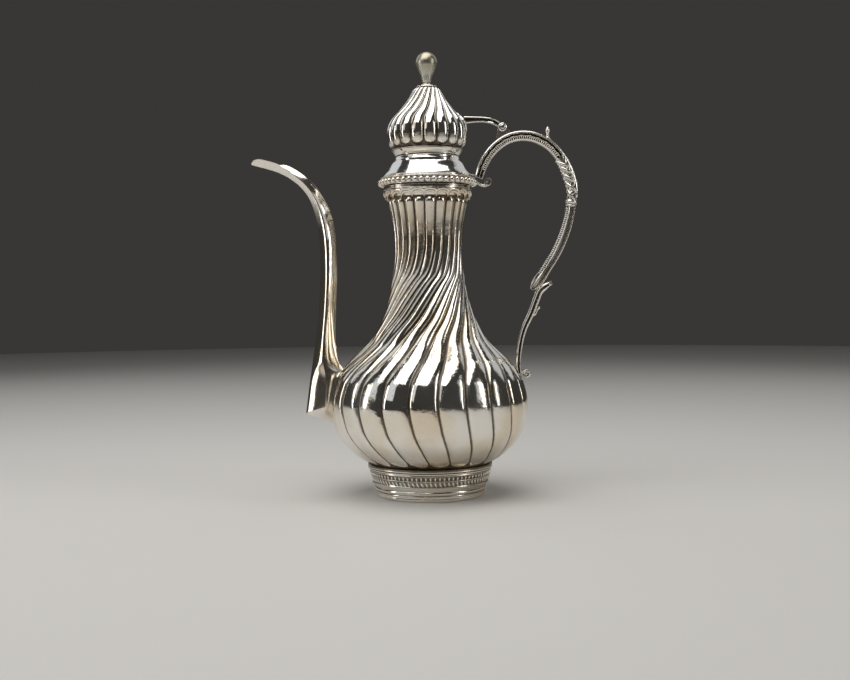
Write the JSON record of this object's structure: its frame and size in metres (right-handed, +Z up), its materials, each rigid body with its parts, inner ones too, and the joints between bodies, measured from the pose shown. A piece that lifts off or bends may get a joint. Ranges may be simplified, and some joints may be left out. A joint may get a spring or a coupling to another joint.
{
  "type": "coffee pot",
  "caption": "Tall covered coffee pot of ewer form with swirling gadroons, swan-neck spout, scroll handle and a domed cover hinged to the handle.",
  "frame": {"origin": "on the surface the pot stands on, at the middle of its overall length and breadth", "axes": "+Z up; the handle is towards +X and the spout towards -X; the body's own axis stands at x = 9.25 mm, y = 0"},
  "size_m": [0.2442, 0.1476, 0.3299],
  "materials": {
    "silver": "polished silver, softened by age, with dark tarnish in the hollows",
    "bright_silver": "bright hand-polished silver",
    "dark_silver": "cast silver, tarnished in the recesses and rubbed bright on the edges",
    "knob_silver": "satin silver with a warm grey-green cast"
  },
  "bodies": {
    "pot": {"belly_shell": "silver", "neck_tube": "silver", "spout": "silver", "foot_drum": "silver", "foot_base_moulding": "silver", "foot_reeded_band": "silver", "foot_top_moulding": "silver", "neck_collar": "silver", "mouth_flange": "silver", "bead_ring": "silver", "mouth_band": "dark_silver", "handle_grip": "dark_silver", "root_leaf": "dark_silver", "root_scroll": "dark_silver", "grip_leaf_wrap": "dark_silver", "grip_ring": "dark_silver", "grip_spur": "dark_silver", "handle_strap": "dark_silver", "strap_scroll": "dark_silver", "strap_thorn": "dark_silver", "hinge_lug": "dark_silver", "hinge_pin": "dark_silver"},
    "cover": {"cover_skirt": "bright_silver", "cover_bezel": "silver", "cover_dome": "silver", "cover_cap": "silver", "knob_collar": "knob_silver", "knob": "knob_silver", "knob_stud": "dark_silver", "knob_nut": "dark_silver", "cover_arm": "dark_silver"}
  },
  "joints": [
    {"name": "cover_hinge", "type": "hinge", "parent": "pot", "child": "cover", "pos_m": [0.06525, 0, 0.2737], "axis": [0, 1, 0], "range_deg": [0, 110]}
  ]
}
